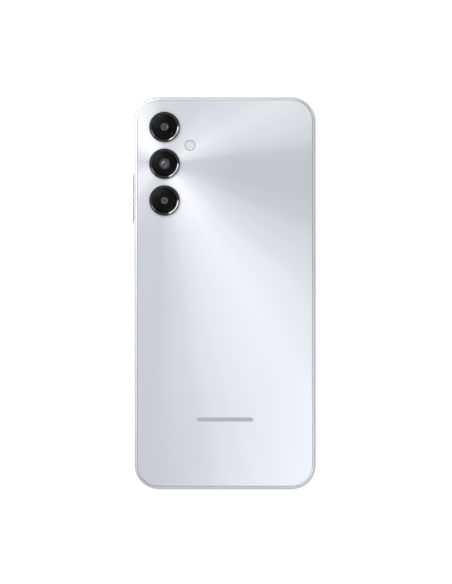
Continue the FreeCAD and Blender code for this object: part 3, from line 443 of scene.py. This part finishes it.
def turned(profile, middle, segments=96):
    """Builds the closed solid that a closed profile of (radius, height) sweeps round a vertical axis."""
    turns = [2 * math.pi * n / segments for n in range(segments)]

    def ring(bm, radius, height):
        if radius < 1e-9:
            return [bm.verts.new((middle[0], middle[1], height))]
        return [bm.verts.new((middle[0] + radius * math.cos(a), middle[1] + radius * math.sin(a), height))
                for a in turns]

    def build(bm):
        rings = [ring(bm, radius, height) for radius, height in profile]
        for first, second in zip(rings, rings[1:] + rings[:1]):
            for n in range(segments):
                m = (n + 1) % segments
                corners = [first[n % len(first)], first[m % len(first)],
                           second[m % len(second)], second[n % len(second)]]
                corners = list(dict.fromkeys(corners))
                if len(corners) > 2:
                    bm.faces.new(corners)
    return build


def arc(centre_r, centre_h, radius, start, end, steps):
    """Points of an arc in a profile, angles in degrees from the outward direction."""
    angles = (math.radians(start + (end - start) * n / steps) for n in range(steps + 1))
    return [(centre_r + radius * math.cos(a), centre_h + radius * math.sin(a)) for a in angles]


def boxes(spans):
    """Builds closed boxes from (low corner, high corner) pairs."""
    def build(bm):
        for low, high in spans:
            made = bmesh.ops.create_cube(bm, size=1.0)["verts"]
            for v in made:
                v.co = Vector(low[k] if v.co[k] < 0 else high[k] for k in range(3))
    return build


# ---------------------------------------------------------------- cameras and flash

def dome(radius, edge_height, rise, floor, steps=14):
    """Profile of a lens element: a flat floor and a spherical crown."""
    sphere = (radius * radius + rise * rise) / (2 * rise)
    crown = []
    for n in range(steps + 1):
        r = radius * (1 - n / steps)
        crown.append((r, edge_height + rise - sphere + math.sqrt(sphere * sphere - r * r)))
    return [(0.0, floor), (radius, floor)] + crown


def stepped_trim(eye, outer, low, high, steps=4):
    """Profile of the black trim under the cover glass: narrow steps down to the eye."""
    floor = low - 0.06 * MM
    lip = 0.04 * MM
    points = [(outer, floor), (outer, high)]
    for n in range(steps):
        radius = outer - (outer - eye) * (0.35 + 0.65 * n / steps)
        height = high - (high - low) * n / steps
        points += [(radius + lip, height), (radius, height - (high - low) / steps)]
    return points + [(eye, low), (eye, floor)]


def barrel_face(eye, pupil, barrel_top):
    """Profile of the ring round the front element: a rounded rim that slopes in to the pupil."""
    outer = eye - 0.02 * MM
    floor = barrel_top - 0.5 * MM
    rim = arc(eye - 0.22 * MM, barrel_top - 0.2 * MM, 0.2 * MM, 40, 120, 5)
    slope = [(pupil + 0.1 * MM, barrel_top - 0.22 * MM), (pupil, barrel_top - 0.3 * MM)]
    return [(pupil, floor), (outer, floor), (outer, barrel_top - 0.08 * MM)] + rim + slope


def coated_element(name, shine):
    """Dark glass with a mirror-like coating, faintly violet."""
    paint = Paint("element_" + name, Metallic=1.0, Roughness=0.04)
    low, high = (shine * 0.9, shine * 0.9, shine), (shine, shine * 0.95, shine * 1.1)
    paint.set(Base_Color=paint.mix(paint.noise(700.0), low, high))
    return paint.material


# For each camera: radii of its eye and pupil, how bright its element and its barrel ring are, the body it
# rides on, and the CAD node that holds it.
CAMERAS = {
    "upper": (1.7 * MM, 0.9 * MM, 0.14, 0.32, "phone", "wide_camera_module"),
    "middle": (2.35 * MM, 1.45 * MM, 0.3, 0.24, "focus_barrel", "main_camera_barrel"),
    "lower": (1.55 * MM, 0.8 * MM, 0.14, 0.4, "phone", "depth_camera_module"),
}


def camera_eyes():
    """Under each cover glass: a black stepped trim, a grey barrel ring and a domed element."""
    black = plain("camera_trim", (0.001, 0.001, 0.0012), 0.55, grain=4000.0, Specular_IOR_Level=0.02)
    trim_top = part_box("lens_glasses")[0][2] - 0.03 * MM
    trim_low = trim_top - 0.18 * MM
    for name, (eye, pupil, shine, shade, body, module) in CAMERAS.items():
        middle = LENSES[name]
        trim = stepped_trim(eye + 0.1 * MM, 4.8 * MM, trim_low, trim_top)
        mesh_object("camera_trim_" + name, turned(trim, middle), black)
        barrel_top = top(module)
        grey_ring = plain("barrel_ring_" + name, (shade, shade, shade), 0.35, grain=5000.0,
                          Specular_IOR_Level=0.3)
        mesh_object("barrel_ring_" + name, turned(barrel_face(eye, pupil, barrel_top), middle), grey_ring,
                    body)
        crown = dome(pupil - 0.01 * MM, barrel_top - 0.42 * MM, 0.28 * MM, barrel_top - 0.6 * MM)
        piece = mesh_object("front_element_" + name, turned(crown, middle), coated_element(name, shine),
                            body)
        if name == "middle":
            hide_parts("main_camera_lens")
        elif name == "upper":
            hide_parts("fixed_camera_lenses")


def flash(clear):
    """A clear window moulded with concentric Fresnel rings, over a white cup round the lamp."""
    middle = centre("flash_window")
    low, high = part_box("flash_window")[0][2], top("flash_window")
    radius = size("flash_window").x / 2
    ridge, groove, foot = high - 0.02 * MM, high - 0.1 * MM, high - 0.03 * MM
    rings, ringed = 6, radius * 0.86
    step = ringed / rings
    window = [(0.0, low), (radius, low), (radius, ridge), (radius * 0.9, high)]
    for n in range(rings):
        outer = ringed - n * step
        window += [(outer, ridge), (outer - step * 0.15, groove), (outer - step * 0.95, foot)]
    window.append((0.0, ridge))
    piece = mesh_object("flash_fresnel", turned(window, middle, 72), clear)
    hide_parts("flash_window")
    floor, lip = top("flash_led") + 0.02 * MM, low - 0.02 * MM
    wall = [(radius * 0.97, floor), (radius * 0.97, lip), (radius * 0.9, lip),
            (radius * 0.72, floor + 0.05 * MM), (radius * 0.62, floor)]
    white = plain("flash_cup", (0.93, 0.93, 0.92), 0.4, spread=0.03)
    mesh_object("flash_cup", turned(wall, middle, 72), white)


# ---------------------------------------------------------------- ports

def usb_contacts():
    """Twelve gold pads on each face of the connector's tongue."""
    gold = plain("contact_gold", (0.9, 0.62, 0.24), 0.22, metallic=1.0, spread=0.05)
    level = centre("usb_shell").z
    pads, pitch, width, length = 12, 0.5 * MM, 0.26 * MM, 2.6 * MM
    half_tongue, proud = 0.35 * MM, 0.03 * MM
    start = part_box("usb_tongue")[0][1] + 0.35 * MM
    spans = []
    for n in range(pads):
        x = (n - (pads - 1) / 2) * pitch
        for low, high in ((level + half_tongue, level + half_tongue + proud),
                          (level - half_tongue - proud, level - half_tongue)):
            spans.append(((x - width / 2, start, low), (x + width / 2, start + length, high)))
    mesh_object("usb_contacts", boxes(spans), gold, smooth=False)


def jack_contacts():
    """Four leaf springs that bulge a little into the jack's bore, in turn from below and above."""
    gold = plain("spring_gold", (0.88, 0.62, 0.28), 0.25, metallic=1.0, spread=0.05)
    x, z = centre("headphone_jack").x, centre("usb_shell").z
    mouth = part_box("headphone_jack")[0][1]
    inner, outer, half_width, length = 1.62 * MM, 1.79 * MM, 0.45 * MM, 1.1 * MM
    spans = []
    for n, depth in enumerate((3.6, 6.6, 9.2, 12.2)):
        y = mouth + depth * MM
        low, high = (z + inner, z + outer) if n % 2 else (z - outer, z - inner)
        spans.append(((x - half_width, y, low), (x + half_width, y + length, high)))
    mesh_object("jack_contacts", boxes(spans), gold, smooth=False)


# ---------------------------------------------------------------- stage, light and camera

def stage():
    """A plain pale floor, lit weakly from below like a light table."""
    bpy.ops.mesh.primitive_plane_add(size=8.0, location=(0, 0, -0.05 * MM))
    floor = bpy.context.object
    floor.name = "floor"
    paint = Paint("floor_paint", Roughness=0.9, Emission_Color=(1.0, 1.0, 1.0), Emission_Strength=0.25)
    paint.set(Base_Color=paint.mix(paint.noise(6.0), (0.93, 0.93, 0.93), (0.95, 0.95, 0.95)))
    floor.data.materials.append(paint.material)


def room_light():
    """Even light from all round, dimmer overhead so that the lens glass stays dark."""
    round_about, overhead = 0.7, 0.2
    dimming_starts, dimming_ends = 0.93, 0.985
    world = bpy.data.worlds.new("studio")
    world.use_nodes = True
    tree = world.node_tree
    sky = tree.nodes["Background"]
    sky.inputs["Color"].default_value = (0.985, 0.992, 1.0, 1.0)
    direction = tree.nodes.new("ShaderNodeTexCoord").outputs["Generated"]
    parts = tree.nodes.new("ShaderNodeSeparateXYZ")
    tree.links.new(direction, parts.inputs[0])
    dimming = tree.nodes.new("ShaderNodeMapRange")
    for socket, value in zip(dimming.inputs[1:5], (dimming_starts, dimming_ends, round_about, overhead)):
        socket.default_value = value
    tree.links.new(parts.outputs["Z"], dimming.inputs[0])
    tree.links.new(dimming.outputs[0], sky.inputs["Strength"])
    bpy.context.scene.world = world


# Soft panels that face the phone: azimuth from +X towards +Y and elevation in degrees, distance, width
# and height in metres, and power in watts. The strip stands where the lens rings' bevels mirror it.
LIGHTS = {
    "key": (135, 62, 1.6, 0.6, 0.6, 9.0),
    "strip": (143, 37, 1.1, 1.1, 0.13, 6.5),
    "low_fill": (38, 37, 1.1, 0.4, 0.16, 0.5),
    "left_fill": (180, 57, 1.8, 1.2, 0.9, 4.0),
    "right_fill": (0, 57, 1.8, 1.2, 0.9, 3.0),
    "head_fill": (90, 57, 1.8, 0.9, 0.6, 3.4),
    "foot_fill": (-90, 57, 1.8, 0.9, 0.6, 2.7),
    "spot_fill": (-42, 70, 1.6, 0.35, 0.35, 2.5),
}


def lights():
    for name, (azimuth, elevation, distance, width, height, power) in LIGHTS.items():
        light = bpy.data.lights.new(name, "AREA")
        light.shape = "RECTANGLE"
        light.size, light.size_y = width, height
        light.energy = power
        lamp = bpy.data.objects.new(name, light)
        bpy.context.scene.collection.objects.link(lamp)
        a, e = math.radians(azimuth), math.radians(elevation)
        direction = Vector((math.cos(a) * math.cos(e), math.sin(a) * math.cos(e), math.sin(e)))
        lamp.location = direction * distance
        lamp.rotation_euler = (-direction).to_track_quat("-Z", "Y").to_euler()


def camera():
    """A long lens straight above the back, the phone upright in a portrait frame."""
    lens, sensor = 200.0, 36.0
    phones_per_frame = 1.48544
    view_height = size("side_frame").y * phones_per_frame
    data = bpy.data.cameras.new("camera")
    data.lens, data.sensor_width = lens, sensor
    data.clip_end = 20.0
    view = bpy.data.objects.new("camera", data)
    bpy.context.scene.collection.objects.link(view)
    view.location = (0.4 * MM, 0.5 * MM, PANEL_TOP + view_height * lens / sensor)
    bpy.context.scene.camera = view


camera()
room_light()
lights()
bpy.context.scene.view_settings.view_transform = "Standard"
stage()
finished = finish_nodes()
camera_eyes()
flash(finished["flash_window"])
usb_contacts()
jack_contacts()
